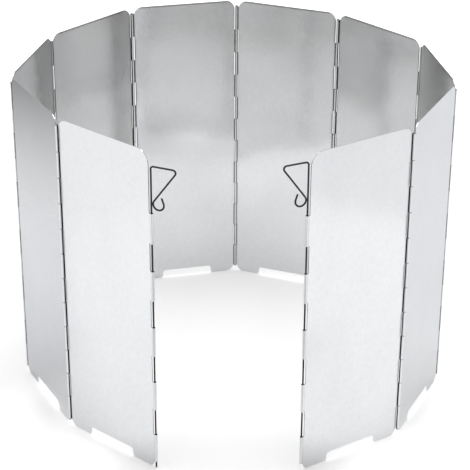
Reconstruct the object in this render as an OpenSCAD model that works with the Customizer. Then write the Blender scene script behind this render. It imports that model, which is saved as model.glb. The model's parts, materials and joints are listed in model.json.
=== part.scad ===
// Folding stove windscreen: ten thin aluminium panels in a row, joined by rolled knuckles on
// wire pins, standing as an open ring. A wire rod with a triangular hook sits in each free edge.
// The panels are numbered from the front-left free edge, clockwise seen from above, and hinge k
// joins panel k and panel k + 1. Hinge 0 and hinge 10 are the two free edges with the rods.

/* [Panels] */
// Distance between neighbouring hinge axes, along the sheet
panel_pitch = 84; // [70:1:100]
// Height of a panel
panel_h = 240; // [200:1:280]
// Thickness of the aluminium sheet
sheet_t = 0.5; // [0.4:0.05:0.6]
// Radius of the upper corners beside a hinge
top_corner_r = 7; // [3:0.5:8]
// Radius of the lower corners beside a hinge
bottom_corner_r = 6.5; // [3:0.5:8]
// Radius of the upper corner on a free edge
free_top_corner_r = 9.5; // [3:0.5:14]
// Radius of the lower corner on a free edge
free_bottom_corner_r = 3.5; // [2:0.5:5]

/* [Vent notch] */
// Width of the notch in the lower edge
vent_w = 41; // [20:1:50]
// Height of the notch
vent_h = 6.5; // [6:0.5:12]
// Radius of the notch's upper corners
vent_corner_r = 2.5; // [1:0.5:3]
// Radius of the corners where the notch meets the feet
vent_lip_r = 2; // [1:0.5:3]

/* [Hinges] */
// Diameter of the wire
wire_d = 1.2; // [1:0.05:1.2]
// Radial clearance of the wire in its knuckles
wire_clearance = 0.05; // [0.03:0.01:0.1]
// Distance from a hinge axis to the middle of the sheet
axis_offset = 0.4; // [0.35:0.05:0.6]
// Distance from a hinge axis to the sheet's edge between the knuckles
edge_cutback = 1.75; // [1.6:0.05:3]
// Number of knuckles along a hinge, shared by its two panels
hinge_knuckles = 12; // [8:2:16]
// Length of panel edge above and below the knuckles
knuckle_margin = 5; // [4:0.5:8]
// Gap between neighbouring knuckles
knuckle_gap = 0.4; // [0.3:0.05:0.8]
// Width of the open seam between a roll's end and the sheet
seam_w = 0.5; // [0.2:0.05:0.6]
// Radius of a hinge pin's upset ends
pin_head_r = 0.9; // [0.8:0.05:1]
// Height of a hinge pin's upset ends
pin_head_h = 0.6; // [0.4:0.1:1]

/* [Free edges] */
// Number of knuckles on a free edge
free_knuckles = 5; // [4:1:5]
// Length of a free-edge knuckle
free_knuckle_l = 22; // [15:0.5:22]
// Distance between free-edge knuckles, from one's start to the next one's
free_knuckle_pitch = 42.4; // [40:0.2:43]

/* [Latch rods] */
// Height of the hook's upper arm above the rod's lower tip
rod_h = 230; // [225:1:234]
// Reach of the hook from the rod's axis
hook_reach = 17.4; // [14:0.2:18]
// Bend radius of the wire at the hook's corners
hook_bend_r = 2; // [1.5:0.1:3]
// Swell of the wire's radius in a bend
bend_swell = 0.02; // [0.02:0.01:0.04]
// Chamfer on the wire's cut ends
wire_tip = 0.2; // [0.1:0.05:0.3]
// Radius of the curl at the hook's end
curl_r = 3.8; // [3:0.1:4]
// Distance from the rod's axis to the curl's centre
curl_x = 5.1; // [5:0.1:6]
// Height of the curl's centre below the upper arm
curl_drop = 26.4; // [24:0.2:27]
// Angle past level at which the curl runs out straight
curl_run_out = 19; // [0:1:40]
// Length of the straight end after the curl
curl_tail = 4; // [1:0.5:4]
// Swing of the left hook from its panel's plane towards the inside
hook_swing_left = 17.5; // [0:0.5:25]
// Swing of the right hook from its panel's plane towards the inside
hook_swing_right = 9; // [0:0.5:25]
// Height of the left rod's tip above the ground
rod_lift_left = 0; // [0:0.5:5]
// Height of the right rod's tip above the ground
rod_lift_right = 4.5; // [0:0.5:5]

/* [Standing ring] */
// Direction of panel 1 from its free edge, from +X towards +Y
first_heading = 139.7; // [130:0.1:150]
// Inward turn at hinge 1
turn_1 = 21.9; // [10:0.1:45]
// Inward turn at hinge 2
turn_2 = 41.6; // [10:0.1:45]
// Inward turn at hinge 3
turn_3 = 28.2; // [10:0.1:45]
// Inward turn at hinge 4
turn_4 = 34.8; // [10:0.1:45]
// Inward turn at hinge 5
turn_5 = 34; // [10:0.1:45]
// Inward turn at hinge 6
turn_6 = 25.4; // [10:0.1:45]
// Inward turn at hinge 7
turn_7 = 32.8; // [10:0.1:45]
// Inward turn at hinge 8
turn_8 = 36.7; // [10:0.1:45]
// Inward turn at hinge 9
turn_9 = 31.4; // [10:0.1:45]

/* [Hidden] */
$fn = 48;
panel_count = 10;
turns = [turn_1, turn_2, turn_3, turn_4, turn_5, turn_6, turn_7, turn_8, turn_9];

// A knuckle is the sheet rolled once round the wire, standing out on both of the sheet's faces
wire_r = wire_d / 2;
bend_wire_r = wire_r + bend_swell;
bore_r = wire_r + wire_clearance;
knuckle_r = bore_r + sheet_t;

hinge_l = panel_h - 2 * knuckle_margin;
knuckle_pitch = hinge_l / hinge_knuckles;
sheet_w = panel_pitch - 2 * edge_cutback;

// Odd hinges stand out further on the outside and even ones on the inside, so the row folds up
function roll_side(k) = k % 2 == 0 ? -1 : 1;

function turned_before(i) = i == 1 ? 0 : turned_before(i - 1) + turns[i - 2];
function heading(i) = first_heading - turned_before(i);
function along(angle) = [cos(angle), sin(angle)];
function outward(angle) = [-sin(angle), cos(angle)];
function step_across(i) = panel_pitch * along(heading(i))
    + (roll_side(i) - roll_side(i - 1)) * axis_offset * outward(heading(i));
function chain_axis(k) = k == 0 ? [0, 0] : chain_axis(k - 1) + step_across(k);

// Plan directions of the two hooks
hook_heading_left = heading(1) + 180 + hook_swing_left;
hook_heading_right = heading(panel_count) - hook_swing_right;

// The ring's box in plan is centred on the origin
chain = [for (k = [0 : panel_count]) chain_axis(k)];
hook_tips = [
    chain[0] + hook_reach * along(hook_heading_left),
    chain[panel_count] + hook_reach * along(hook_heading_right)
];
function sheet_corner(i, u, side) = chain[i - 1] + u * along(heading(i))
    + (side * sheet_t / 2 - roll_side(i - 1) * axis_offset) * outward(heading(i));
sheet_corners = [
    for (i = [1 : panel_count], u = [edge_cutback, panel_pitch - edge_cutback], side = [-1, 1])
        sheet_corner(i, u, side)
];
function lowest(n) = min(min([for (p = chain) p[n] - knuckle_r]), min([for (p = hook_tips) p[n] - bend_wire_r]),
    min([for (p = sheet_corners) p[n]]));
function highest(n) = max(max([for (p = chain) p[n] + knuckle_r]), max([for (p = hook_tips) p[n] + bend_wire_r]),
    max([for (p = sheet_corners) p[n]]));
centre = [(lowest(0) + highest(0)) / 2, (lowest(1) + highest(1)) / 2];
function hinge_axis(k) = chain[k] - centre;

// The hook's path lies in one plane, with x away from the rod and y up. It turns clockwise round
// the outer corner, runs down a straight slant and turns anticlockwise round the curl.
corner_centre = [hook_reach - hook_bend_r, rod_h - hook_bend_r];
curl_centre = [curl_x, rod_h - curl_drop];
corner_to_curl = curl_centre - corner_centre;
slant_sweep = asin((hook_bend_r + curl_r) / norm(corner_to_curl));
slant_bearing = atan2(corner_to_curl[1], corner_to_curl[0]) - slant_sweep;
slant_l = norm(corner_to_curl) * cos(slant_sweep);
// A straight run goes this far into a bend, where the bend's swell still covers it
bend_lap = 0.2;

panel_names = [for (i = [1 : panel_count]) str("panel_", i)];
pin_names = [for (k = [1 : panel_count - 1]) str("hinge_pin_", k)];

// What is left of a square corner outside an arc of radius r, with the corner at the origin
module corner_waste(r) {
    difference() {
        translate([-1, -1]) square(r + 1);
        translate([r, r]) circle(r);
    }
}

// Outline of the notch, with its lower edge on the ground and its lips flared onto the feet
module vent_outline() {
    difference() {
        translate([-vent_w / 2, -1]) square([vent_w, vent_h + 1]);
        for (m = [0, 1]) mirror([m, 0])
            translate([-vent_w / 2, vent_h]) mirror([0, 1]) corner_waste(vent_corner_r);
    }
    for (m = [0, 1]) mirror([m, 0])
        translate([vent_w / 2, 0]) corner_waste(vent_lip_r);
}

// Outline of the flat sheet, with its corners' radii given as [lower, upper]
module sheet_outline(left_r, right_r) {
    difference() {
        translate([edge_cutback, 0]) square([sheet_w, panel_h]);
        translate([panel_pitch / 2, 0]) vent_outline();
        for (m = [0, 1]) {
            r = m == 0 ? left_r : right_r;
            translate([panel_pitch * m, 0]) mirror([m, 0]) {
                translate([edge_cutback, 0]) corner_waste(r[0]);
                translate([edge_cutback, panel_h]) mirror([0, 1]) corner_waste(r[1]);
            }
        }
    }
}

// Cross-section of a knuckle, with its sheet leaving to +X and its roll ending on the +Y side
module knuckle_section() {
    difference() {
        union() {
            translate([0, axis_offset]) circle(knuckle_r);
            translate([0, -sheet_t / 2]) square([edge_cutback, sheet_t]);
        }
        translate([0, axis_offset]) circle(bore_r);
        translate([0, sheet_t / 2]) square([2 * knuckle_r, seam_w]);
    }
}

// A knuckle of the given span on a hinge edge, in the frame of knuckle_section
module knuckle(low, high) {
    translate([0, 0, low]) linear_extrude(high - low) knuckle_section();
}

// The knuckles of a hinge that belong to one panel, counted from the top
module hinge_edge(first) {
    for (n = [first : 2 : hinge_knuckles]) {
        high = panel_h - knuckle_margin - (n - 1) * knuckle_pitch;
        low = high - knuckle_pitch;
        low_gap = n == hinge_knuckles ? 0 : knuckle_gap / 2;
        high_gap = n == 1 ? 0 : knuckle_gap / 2;
        knuckle(low + low_gap, high - high_gap);
    }
}

// The knuckles of a free edge
module free_edge() {
    for (n = [0 : free_knuckles - 1]) {
        low = knuckle_margin + n * free_knuckle_pitch;
        knuckle(low, low + free_knuckle_l);
    }
}

// Turns knuckles to the inside where the side is negative
module rolled_to(side) {
    if (side > 0) children();
    else mirror([0, 1, 0]) children();
}

// Panel i in its own frame: X along the sheet from its left axis, Y outwards, Z up
module panel_body(i) {
    left_free = i == 1;
    right_free = i == panel_count;
    hinge_corners = [bottom_corner_r, top_corner_r];
    free_corners = [free_bottom_corner_r, free_top_corner_r];
    translate([0, sheet_t / 2, 0]) rotate([90, 0, 0]) linear_extrude(sheet_t)
        sheet_outline(left_free ? free_corners : hinge_corners, right_free ? free_corners : hinge_corners);
    rolled_to(roll_side(i - 1)) {
        if (left_free) free_edge();
        else hinge_edge(1);
    }
    translate([panel_pitch, 0, 0]) mirror([1, 0, 0]) rolled_to(roll_side(i)) {
        if (right_free) free_edge();
        else hinge_edge(2);
    }
}

module panel(i) {
    color("gainsboro")
        translate(hinge_axis(i - 1)) rotate(heading(i))
            translate([0, -roll_side(i - 1) * axis_offset, 0]) panel_body(i);
}

// Wire pin of hinge k, with an upset end on its top knuckle and one below its bottom knuckle
module hinge_pin(k) {
    top = panel_h - knuckle_margin;
    bottom = knuckle_margin - knuckle_gap;
    color("dimgray") translate(hinge_axis(k)) {
        translate([0, 0, bottom - pin_head_h]) cylinder(h = top - bottom + 2 * pin_head_h, r = wire_r);
        translate([0, 0, top]) cylinder(h = pin_head_h, r = pin_head_r);
        translate([0, 0, bottom - pin_head_h]) cylinder(h = pin_head_h, r = pin_head_r);
    }
}

// A bend of the wire in the hook's plane, anticlockwise from one bearing
module wire_bend(centre, r, from, turn) {
    translate([centre[0], 0, centre[1]]) rotate([90, 0, 0]) rotate(from)
        rotate_extrude(angle = turn) translate([r, 0]) circle(bend_wire_r);
}

// A straight run of the wire in the hook's plane, with a chamfered tip at its end where one is given
module wire_run(start, bearing, length, tip = 0) {
    translate([start[0], 0, start[1]]) rotate([0, 90 - bearing, 0]) {
        cylinder(h = length, r = wire_r);
        if (tip > 0) translate([0, 0, length]) cylinder(h = tip, r1 = wire_r, r2 = wire_r - tip);
    }
}

// A rod with its hook, in its own frame: Z along the rod, X towards the hook
module latch_rod() {
    slant_start = corner_centre + hook_bend_r * along(slant_bearing + 90);
    curl_end = curl_centre + curl_r * along(curl_run_out);
    tail_bearing = curl_run_out + 90;
    wire_run([0, corner_centre[1] + bend_lap], -90, corner_centre[1] + bend_lap - wire_tip, wire_tip);
    wire_bend([hook_bend_r, corner_centre[1]], hook_bend_r, 90, 90);
    wire_run([hook_bend_r - bend_lap, rod_h], 0, corner_centre[0] - hook_bend_r + 2 * bend_lap);
    wire_bend(corner_centre, hook_bend_r, 90 + slant_bearing, -slant_bearing);
    wire_run(slant_start - bend_lap * along(slant_bearing), slant_bearing, slant_l + 2 * bend_lap);
    wire_bend(curl_centre, curl_r, slant_bearing - 90, tail_bearing - slant_bearing);
    wire_run(curl_end - bend_lap * along(tail_bearing), tail_bearing, curl_tail + bend_lap, wire_tip);
}

module latch_rod_left() {
    color("slategray") translate(hinge_axis(0)) translate([0, 0, rod_lift_left])
        rotate(hook_heading_left) latch_rod();
}

module latch_rod_right() {
    color("slategray") translate(hinge_axis(panel_count)) translate([0, 0, rod_lift_right])
        rotate(hook_heading_right) latch_rod();
}

for (i = [1 : panel_count]) {
    panel(i);
}
for (k = [1 : panel_count - 1]) {
    hinge_pin(k);
}
latch_rod_left();
latch_rod_right();
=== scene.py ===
"""Dresses the folding windscreen: satin aluminium panels, steel pins and wire hooks in a white studio."""

import json
import math

import bpy
from mathutils import Euler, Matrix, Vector

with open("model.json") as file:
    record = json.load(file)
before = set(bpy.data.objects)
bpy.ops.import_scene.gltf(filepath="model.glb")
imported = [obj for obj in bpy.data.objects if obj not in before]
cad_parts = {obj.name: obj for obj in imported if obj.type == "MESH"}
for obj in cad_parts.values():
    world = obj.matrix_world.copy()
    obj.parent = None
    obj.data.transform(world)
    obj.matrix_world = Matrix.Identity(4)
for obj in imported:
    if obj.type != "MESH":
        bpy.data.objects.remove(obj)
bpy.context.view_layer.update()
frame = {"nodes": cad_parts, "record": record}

# Camera, in pixels, millimetres, metres and degrees, fitted to the ring's proportions in the photograph
PHOTO_PX = 470
FOCAL_PX = 1679
SENSOR_MM = 36.0
CAMERA_AT = (0.0, -1.1097, 0.6744)
CAMERA_DOWN = 26.99
CAMERA_ROLL = 0.315
CAMERA_YAW = -0.11
CAMERA_REACH = 50.0

# Panels mirror one another many times over
MIRROR_BOUNCES = 16

# Aluminium: each noise has its cycles per metre along x, y and z, and its detail
GRAIN_NOISE = ((2600, 2600, 40), 3.0)
MOTTLE_NOISE = ((22, 22, 14), 4.0)
SPECKLE_NOISE = ((420, 420, 300), 2.0)
WAVE_NOISE = ((9, 9, 6), 1.0)
SPECKLE_SHARE = 0.45
ALUMINIUM_COLOURS = ((0.692, 0.690, 0.686, 1), (0.880, 0.878, 0.873, 1))
ALUMINIUM_EDGE_TINT = (0.92, 0.92, 0.92, 1)
MOTTLE_ROUGHNESS = (0.07, 0.13)
GRAIN_ROUGHNESS = (-0.03, 0.03)
# Strength of a bump, and its height in metres
WAVE_BUMP = (0.15, 0.002)
GRAIN_BUMP = (0.05, 0.0002)

# Painted shade in the hinges' grooves, darker where less open sky reaches: its reach, and the heights above
# the ground where it starts, in metres
PAINTED_SHADE_COLOUR = (0.04, 0.04, 0.042, 1)
GROOVE_SAMPLES = 16
GROOVE_REACH = 0.003
GROOVE_FROM_Z = (0.0032, 0.0038)
# Shares of open sky where a groove's painted shade fades out, and shares hidden by a neighbour where a
# seam's painted shade turns dark
GROOVE_SKY = (0.74, 0.93)
SEAM_SKY = (0.045, 0.11)
# Painted shade in the crease beside the knuckles: distances from a hinge's axis at which it starts and
# ends, and the share of the metal's own colour left in it
CREASE_START = (0.00117, 0.00125)
CREASE_END = (0.0017, 0.0024)
CREASE_UNSHADED = 0.2
# Heights between which a painted dark line of shade runs along the upper edges, on the faces that look into
# the ring
RIM_Z = (0.2384, 0.2394)
RIM_SHADE_COLOUR = (0.44, 0.44, 0.44, 1)

# Drawn steel of the pins and the rods
STREAK_NOISE = ((1800, 1800, 60), 3.0)
STAIN_NOISE = ((120, 120, 90), 4.0)
PIN_COLOURS = ((0.30, 0.30, 0.31, 1), (0.45, 0.45, 0.46, 1))
ROD_COLOURS = ((0.03, 0.03, 0.032, 1), (0.07, 0.07, 0.073, 1))
STEEL_ROUGHNESS = (0.28, 0.45)
STREAK_BUMP = (0.1, 0.0001)

# Studio, in metres
WHITE = (1, 1, 1, 1)
FLOOR_HALF = 6.0
# The paper's colour as reflections and bounce light see it is bluer than as the camera sees it: a painted
# tint of its reflection
PAPER_MIRRORED = (0.90, 0.92, 0.951, 1)
PAPER_SEEN = (0.92, 0.92, 0.92, 1)
SOFTBOX_AT = (0.03, 0.3, 1.8)
SOFTBOX_SIZE = 1.8
SOFTBOX_WATTS = 21.0
SKY_HORIZON = 0.48
SKY_ZENITH = 0.575

# Painted light on the floor, brighter or fainter by place: a glow that the camera and the metal see, where
# 1 is white
GLOW_GAP = 0.0  # in front of the gap
GLOW_FRONT = 0.24  # in front of the panels beside the gap
GLOW_MIDDLE = (0.14, 0.21)  # in the ring's middle, from front to back
GLOW_BACK_WALL = 0.18  # at the foot of the ring's back wall
GLOW_WALLS_FRONT = (0.28, 0.1)  # along the ring's left and right walls at the front
GLOW_WALLS_BACK = 0.33  # along both walls at the back
GLOW_BESIDE = (0.015, 0.05)  # outside the ring, at its left and right
GLOW_FEET = 0.12  # painted light added round the feet of the panels at the front and right, lifting their shadow
GLOW_BACK = 0.3  # added far behind the ring
GLOW_SIDE_SHARES = (0.85, 0.5)  # shares of the painted glow that are left far out at the left and right

# Places where one glow eases into the next: along x or y, by distance from the middle, or by x less y
GLOW_GAP_X = (0.04, 0.1)
GLOW_FRONT_Y = (-0.13, -0.06)
GLOW_INSIDE_Y = (-0.05, 0.13)
GLOW_BACK_WALL_Y = (0.07, 0.14)
GLOW_WALLS_X = (0.03, 0.12)
GLOW_WALLS_Y = (-0.09, 0.0)
GLOW_LEFT_RIGHT_X = (-0.1, 0.1)
GLOW_BESIDE_R = (0.14, 0.155)
GLOW_FEET_R = (0.155, 0.3)
GLOW_FEET_SIDE = (-0.15, -0.09)
GLOW_BACK_Y = (0.35, 0.7)
GLOW_SIDE_X = (0.42, 0.48)

# Painted light that only the camera sees, making the paper look whiter and lifting its shade, and the
# places between which it eases from one to the next
WHITE_GAP = (0.13, 0.09)  # through the gap, from front to back
WHITE_FEET = 0.1  # round the feet
WHITE_BESIDE = 0.23  # beside the ring
WHITE_AWAY = 0.3  # away from the ring
WHITE_GAP_Y = (-0.06, 0.12)
WHITE_FEET_X = (0.05, 0.08)
WHITE_BESIDE_X = (0.13, 0.155)
WHITE_AWAY_R = (0.22, 0.32)

# Grey cards on the floor that only the metal sees, which paint darker reflections into it: one at the back
# left and one in front of the gap, each graded along one axis from its far colour to its colour near the
# ring
CARD_Z = 0.001
CARD_SOFT_EDGE = 0.08
CARD_LEFT_X = (-1.6, -0.34)
CARD_LEFT_Y = (0.1, 1.4)
CARD_LEFT_FADE = (-0.7, -0.36)
CARD_LEFT_COLOURS = ((0.245, 0.25, 0.257, 1), (0.885, 0.90, 0.924, 1))
CARD_GAP_X = (-0.25, 0.25)
CARD_GAP_Y = (-0.8, -0.18)
CARD_GAP_FADE = (-0.3, -0.21)
CARD_GAP_COLOURS = ((0.688, 0.70, 0.719, 1), (0.836, 0.85, 0.873, 1))


class Nodes:
    """A short way to build a material's node tree."""

    def __init__(self, name):
        self.material = bpy.data.materials.new(name)
        self.material.use_nodes = True
        self.tree = self.material.node_tree
        self.tree.nodes.clear()
        self.output = self.tree.nodes.new("ShaderNodeOutputMaterial")

    def put(self, socket, value):
        """Links an input to another node's output, or sets it to a plain value."""
        if isinstance(value, bpy.types.NodeSocket):
            self.tree.links.new(value, socket)
        else:
            socket.default_value = value

    def add(self, kind, settings=None, **inputs):
        """A new node with its settings, and its inputs by name with _ for a space."""
        node = self.tree.nodes.new(kind)
        for key, value in (settings or {}).items():
            setattr(node, key, value)
        for key, value in inputs.items():
            self.put(node.inputs[key.replace("_", " ")], value)
        return node

    def surface(self, socket):
        """The finished material, with a shader as its surface."""
        self.put(self.output.inputs["Surface"], socket)
        return self.material


def combine(n, operation, first, second, kind="ShaderNodeMath"):
    """The value that an operation of a Math node, or of another kind of node, gives from two inputs."""
    node = n.add(kind, {"operation": operation})
    n.put(node.inputs[0], first)
    n.put(node.inputs[1], second)
    return node.outputs["Value"]


def combine_vectors(n, operation, first, second):
    """The value that a Vector Math node's operation gives from two vectors."""
    return combine(n, operation, first, second, "ShaderNodeVectorMath")


def remap(n, value, low, high):
    """A noise value between 0 and 1 as a value between low and high."""
    return n.add("ShaderNodeMapRange", Value=value, To_Min=low, To_Max=high).outputs["Result"]


def smooth_step(n, value, span, low, high):
    """A value that eases from low to high while the given one crosses the span."""
    step = n.add("ShaderNodeMapRange", {"interpolation_type": "SMOOTHSTEP"}, Value=value, From_Min=span[0],
                 From_Max=span[1], To_Min=low, To_Max=high)
    return step.outputs["Result"]


def mix(n, share, first, second):
    """A colour that goes from the first to the second with the share."""
    return n.add("ShaderNodeMixRGB", Fac=share, Color1=first, Color2=second).outputs["Color"]


def noise(n, cycles, detail):
    """Noise in the object's own coordinates, with a number of cycles per metre along each axis."""
    where = n.add("ShaderNodeTexCoord").outputs["Object"]
    stretched = n.add("ShaderNodeMapping", Vector=where, Scale=cycles).outputs["Vector"]
    return n.add("ShaderNodeTexNoise", Vector=stretched, Scale=1.0, Detail=detail).outputs["Fac"]


def bump(n, height, strength, distance, **inputs):
    """A normal that follows a height."""
    node = n.add("ShaderNodeBump", Height=height, Strength=strength, Distance=distance, **inputs)
    return node.outputs["Normal"]


def open_sky(n, own_piece_only):
    """Share of open sky over a place, past all pieces or past its own piece only."""
    settings = {"samples": GROOVE_SAMPLES, "only_local": own_piece_only}
    return n.add("ShaderNodeAmbientOcclusion", settings, Distance=GROOVE_REACH).outputs["AO"]


def groove_unshaded(n):
    """How free of painted shade the metal is: dark in grooves, and in the seams beside a neighbour's
    knuckles.
    """
    sky = open_sky(n, False)
    hidden_by_neighbour = combine(n, "SUBTRACT", open_sky(n, True), sky)
    groove = smooth_step(n, sky, GROOVE_SKY, 0.0, 1.0)
    return combine(n, "MULTIPLY", groove, smooth_step(n, hidden_by_neighbour, SEAM_SKY, 1.0, 0.0))


def crease_unshaded(n, where):
    """How free of painted shade the metal is beside the knuckles, by its distance from the nearest hinge
    axis.
    """
    above = n.add("ShaderNodeMapping", Vector=where, Scale=(1, 1, 0)).outputs["Vector"]
    nearest = None
    for joint in frame["record"]["behaviour"]["joints"]:
        if not joint["name"].startswith("hinge"):
            continue
        axis_at = (joint["pos_m"][0], joint["pos_m"][1], 0.0)
        distance = combine_vectors(n, "DISTANCE", above, axis_at)
        nearest = distance if nearest is None else combine(n, "MINIMUM", nearest, distance)
    past_crease = smooth_step(n, nearest, CREASE_END, CREASE_UNSHADED, 1.0)
    return smooth_step(n, nearest, CREASE_START, 1.0, past_crease)


def rim_shade_share(n, here, height):
    """How much of the painted shade line along the upper edge shows: it does on the faces that look into
    the ring.
    """
    outward = combine_vectors(n, "DOT_PRODUCT", here["Object"], here["Normal"])
    inner = combine(n, "LESS_THAN", outward, 0.0)
    return combine(n, "MULTIPLY", inner, smooth_step(n, height, RIM_Z, 0.0, 1.0))


def aluminium():
    """Satin rolled aluminium sheet: fine upright grain, faint mottling and a slightly wavy face."""
    n = Nodes("satin_aluminium")
    here = n.add("ShaderNodeTexCoord").outputs
    height = n.add("ShaderNodeSeparateXYZ", Vector=here["Object"]).outputs["Z"]
    grain = noise(n, *GRAIN_NOISE)
    mottle = noise(n, *MOTTLE_NOISE)
    speckled = mix(n, SPECKLE_SHARE, mottle, noise(n, *SPECKLE_NOISE))
    clean = mix(n, speckled, *ALUMINIUM_COLOURS)
    # Painted shade: darker in the hinges' grooves and seams, and in the creases beside the knuckles
    unshaded = smooth_step(n, height, GROOVE_FROM_Z, 1.0, groove_unshaded(n))
    unshaded = combine(n, "MULTIPLY", unshaded, crease_unshaded(n, here["Object"]))
    tone = mix(n, unshaded, PAINTED_SHADE_COLOUR, clean)
    # Painted shade line along the upper edges of the faces that look into the ring
    tone = mix(n, rim_shade_share(n, here, height), tone, RIM_SHADE_COLOUR)
    rough = combine(n, "ADD", remap(n, mottle, *MOTTLE_ROUGHNESS), remap(n, grain, *GRAIN_ROUGHNESS))
    wavy = bump(n, noise(n, *WAVE_NOISE), *WAVE_BUMP)
    grained = bump(n, grain, *GRAIN_BUMP, Normal=wavy)
    shader = n.add("ShaderNodeBsdfPrincipled", Base_Color=tone, Metallic=1.0, Roughness=rough,
                   Specular_Tint=ALUMINIUM_EDGE_TINT, Normal=grained)
    return n.surface(shader.outputs["BSDF"])


def steel(name, colours):
    """Drawn steel wire: streaks along the wire and faint stains."""
    n = Nodes(name)
    streak = noise(n, *STREAK_NOISE)
    tone = mix(n, noise(n, *STAIN_NOISE), *colours)
    shader = n.add("ShaderNodeBsdfPrincipled", Base_Color=tone, Metallic=1.0,
                   Roughness=remap(n, streak, *STEEL_ROUGHNESS), Normal=bump(n, streak, *STREAK_BUMP))
    return n.surface(shader.outputs["BSDF"])


def feet_glow(n, x, y, aside, radius):
    """Painted glow added round the feet of the panels at the front and right, outside the ring, lifting
    their shadow.
    """
    front_right = combine(n, "SUBTRACT", x, y)
    feet = smooth_step(n, aside, GLOW_GAP_X, 0.0, GLOW_FEET)
    feet = smooth_step(n, front_right, GLOW_FEET_SIDE, 0.0, feet)
    feet = smooth_step(n, radius, GLOW_FEET_R, feet, 0.0)
    return smooth_step(n, radius, GLOW_BESIDE_R, 0.0, feet)


def floor_glow(n, x, y, aside, radius):
    """Painted glow of the floor by its place in and round the ring, fainter far out at the left and right.
    """
    middle = smooth_step(n, y, GLOW_INSIDE_Y, *GLOW_MIDDLE)
    middle = smooth_step(n, y, GLOW_BACK_WALL_Y, middle, GLOW_BACK_WALL)
    walls = smooth_step(n, x, GLOW_LEFT_RIGHT_X, *GLOW_WALLS_FRONT)
    walls = smooth_step(n, y, GLOW_WALLS_Y, walls, GLOW_WALLS_BACK)
    inside = smooth_step(n, aside, GLOW_WALLS_X, middle, walls)
    beside = smooth_step(n, x, GLOW_LEFT_RIGHT_X, *GLOW_BESIDE)
    around = smooth_step(n, radius, GLOW_BESIDE_R, inside, beside)
    front = smooth_step(n, aside, GLOW_GAP_X, GLOW_GAP, GLOW_FRONT)
    near = smooth_step(n, y, GLOW_FRONT_Y, front, around)
    back = smooth_step(n, y, GLOW_BACK_Y, 0.0, GLOW_BACK)
    total = combine(n, "ADD", combine(n, "ADD", near, feet_glow(n, x, y, aside, radius)), back)
    side_share = smooth_step(n, x, GLOW_LEFT_RIGHT_X, *GLOW_SIDE_SHARES)
    return combine(n, "MULTIPLY", total, smooth_step(n, aside, GLOW_SIDE_X, 1.0, side_share))


def camera_only_glow(n, y, aside, radius):
    """Painted light that only the camera sees, making the paper look whiter by its place."""
    through_gap = smooth_step(n, y, WHITE_GAP_Y, *WHITE_GAP)
    white = smooth_step(n, aside, WHITE_FEET_X, through_gap, WHITE_FEET)
    white = smooth_step(n, aside, WHITE_BESIDE_X, white, WHITE_BESIDE)
    return smooth_step(n, radius, WHITE_AWAY_R, white, WHITE_AWAY)


def floor_paper():
    """White paper with painted light, a glow by place that only the camera and reflections see, so the
    object's shadow stays.
    """
    n = Nodes("studio_floor")
    where = n.add("ShaderNodeTexCoord").outputs["Object"]
    place = n.add("ShaderNodeSeparateXYZ", Vector=where).outputs
    aside = n.add("ShaderNodeMath", {"operation": "ABSOLUTE"}, Value=place["X"]).outputs["Value"]
    radius = n.add("ShaderNodeVectorMath", {"operation": "LENGTH"}, Vector=where).outputs["Value"]
    path = n.add("ShaderNodeLightPath").outputs
    by_camera = path["Is Camera Ray"]
    seen = combine(n, "MAXIMUM", by_camera, path["Is Glossy Ray"])
    seen = combine(n, "MAXIMUM", seen, path["Is Transmission Ray"])
    # Painted light: a glow by place that the camera and reflections see, and more that only the camera sees
    glow = combine(n, "MULTIPLY", floor_glow(n, place["X"], place["Y"], aside, radius), seen)
    white = combine(n, "MULTIPLY", camera_only_glow(n, place["Y"], aside, radius), by_camera)
    matte = n.add("ShaderNodeBsdfDiffuse", Color=mix(n, by_camera, PAPER_MIRRORED, PAPER_SEEN))
    light = n.add("ShaderNodeEmission", Color=WHITE, Strength=combine(n, "ADD", glow, white))
    both = n.add("ShaderNodeAddShader")
    n.put(both.inputs[0], matte.outputs["BSDF"])
    n.put(both.inputs[1], light.outputs["Emission"])
    return n.surface(both.outputs["Shader"])


def inside_span(n, value, span):
    """1 within a span, easing to 0 at its two ends."""
    start = smooth_step(n, value, (span[0], span[0] + CARD_SOFT_EDGE), 0.0, 1.0)
    return smooth_step(n, value, (span[1] - CARD_SOFT_EDGE, span[1]), start, 0.0)


def reflection_card_grey(name, x, y, axis, fade, colours):
    """Matte grey card over x and y that paints a darker reflection, graded along one axis, with soft edges.
    """
    n = Nodes(name)
    place = n.add("ShaderNodeSeparateXYZ", Vector=n.add("ShaderNodeTexCoord").outputs["Object"]).outputs
    grey = mix(n, smooth_step(n, place[axis], fade, 0.0, 1.0), *colours)
    cover = combine(n, "MULTIPLY", inside_span(n, place["X"], x), inside_span(n, place["Y"], y))
    both = n.add("ShaderNodeMixShader", Fac=cover)
    n.put(both.inputs[1], n.add("ShaderNodeBsdfTransparent").outputs["BSDF"])
    n.put(both.inputs[2], n.add("ShaderNodeBsdfDiffuse", Color=grey).outputs["BSDF"])
    return n.surface(both.outputs["Shader"])


def dress_nodes():
    """Gives every CAD node the finish of its kind."""
    finishes = {
        "panel": aluminium(),
        "hinge_pin": steel("pin_steel", PIN_COLOURS),
        "latch_rod": steel("rod_steel", ROD_COLOURS),
    }
    for name, node in frame["nodes"].items():
        kind = next(kind for kind in finishes if name.startswith(kind))
        node.data.materials.clear()
        node.data.materials.append(finishes[kind])


def add_sheet(name, x, y, z, finish):
    """A level sheet of the studio, spanning x and y at height z."""
    corners = [(x[0], y[0], z), (x[1], y[0], z), (x[1], y[1], z), (x[0], y[1], z)]
    mesh = bpy.data.meshes.new(name)
    mesh.from_pydata(corners, [], [(0, 1, 2, 3)])
    mesh.materials.append(finish)
    sheet = bpy.data.objects.new(name, mesh)
    bpy.context.scene.collection.objects.link(sheet)
    return sheet


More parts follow.
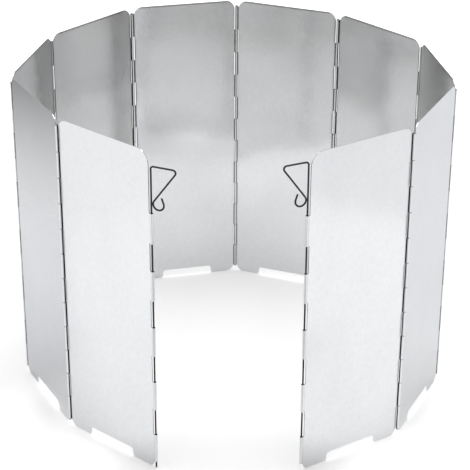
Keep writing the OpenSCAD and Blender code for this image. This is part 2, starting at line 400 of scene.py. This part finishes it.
def add_card(name, x, y, axis, fade, colours):
    """A card just above the floor that shows in the metal alone, as a painted dark reflection, and takes no
    light from the floor.
    """
    card = add_sheet(name, x, y, CARD_Z, reflection_card_grey(name, x, y, axis, fade, colours))
    card.visible_camera = False
    card.visible_diffuse = False
    card.visible_shadow = False


def add_softbox(name, at, size, watts):
    """A square softbox that points at the ring's middle on the floor."""
    data = bpy.data.lights.new(name, "AREA")
    data.size = size
    data.energy = watts
    lamp = bpy.data.objects.new(name, data)
    lamp.location = at
    lamp.rotation_euler = (-Vector(at)).to_track_quat("-Z", "Y").to_euler()
    bpy.context.scene.collection.objects.link(lamp)


def set_world():
    """A plain studio that is brighter overhead than at the horizon."""
    world = bpy.data.worlds.new("studio")
    world.use_nodes = True
    tree = world.node_tree
    where = tree.nodes.new("ShaderNodeTexCoord")
    split = tree.nodes.new("ShaderNodeSeparateXYZ")
    level = tree.nodes.new("ShaderNodeMapRange")
    level.inputs["To Min"].default_value = SKY_HORIZON
    level.inputs["To Max"].default_value = SKY_ZENITH
    background = tree.nodes["Background"]
    background.inputs["Color"].default_value = WHITE
    tree.links.new(where.outputs["Generated"], split.inputs["Vector"])
    tree.links.new(split.outputs["Z"], level.inputs["Value"])
    tree.links.new(level.outputs["Result"], background.inputs["Strength"])
    bpy.context.scene.world = world


def add_camera():
    """A camera that sees the ring as the photograph shows it."""
    data = bpy.data.cameras.new("camera")
    data.sensor_width = SENSOR_MM
    data.lens = SENSOR_MM * FOCAL_PX / PHOTO_PX
    data.clip_end = CAMERA_REACH
    camera = bpy.data.objects.new("camera", data)
    camera.location = CAMERA_AT
    turn = Euler((math.radians(90 - CAMERA_DOWN), 0, math.radians(CAMERA_YAW)), "XYZ").to_matrix()
    roll = Euler((0, 0, math.radians(CAMERA_ROLL)), "XYZ").to_matrix()
    camera.rotation_euler = (turn @ roll).to_euler()
    bpy.context.scene.collection.objects.link(camera)
    bpy.context.scene.camera = camera


dress_nodes()
add_sheet("floor", (-FLOOR_HALF, FLOOR_HALF), (-FLOOR_HALF, FLOOR_HALF), 0.0, floor_paper())
# Cards that paint darker reflections into the metal
add_card("left_card", CARD_LEFT_X, CARD_LEFT_Y, "X", CARD_LEFT_FADE, CARD_LEFT_COLOURS)
add_card("gap_card", CARD_GAP_X, CARD_GAP_Y, "Y", CARD_GAP_FADE, CARD_GAP_COLOURS)
add_softbox("softbox", SOFTBOX_AT, SOFTBOX_SIZE, SOFTBOX_WATTS)
set_world()
add_camera()
bpy.context.scene.view_settings.view_transform = "Standard"
bpy.context.scene.cycles.max_bounces = MIRROR_BOUNCES
bpy.context.scene.cycles.glossy_bounces = MIRROR_BOUNCES
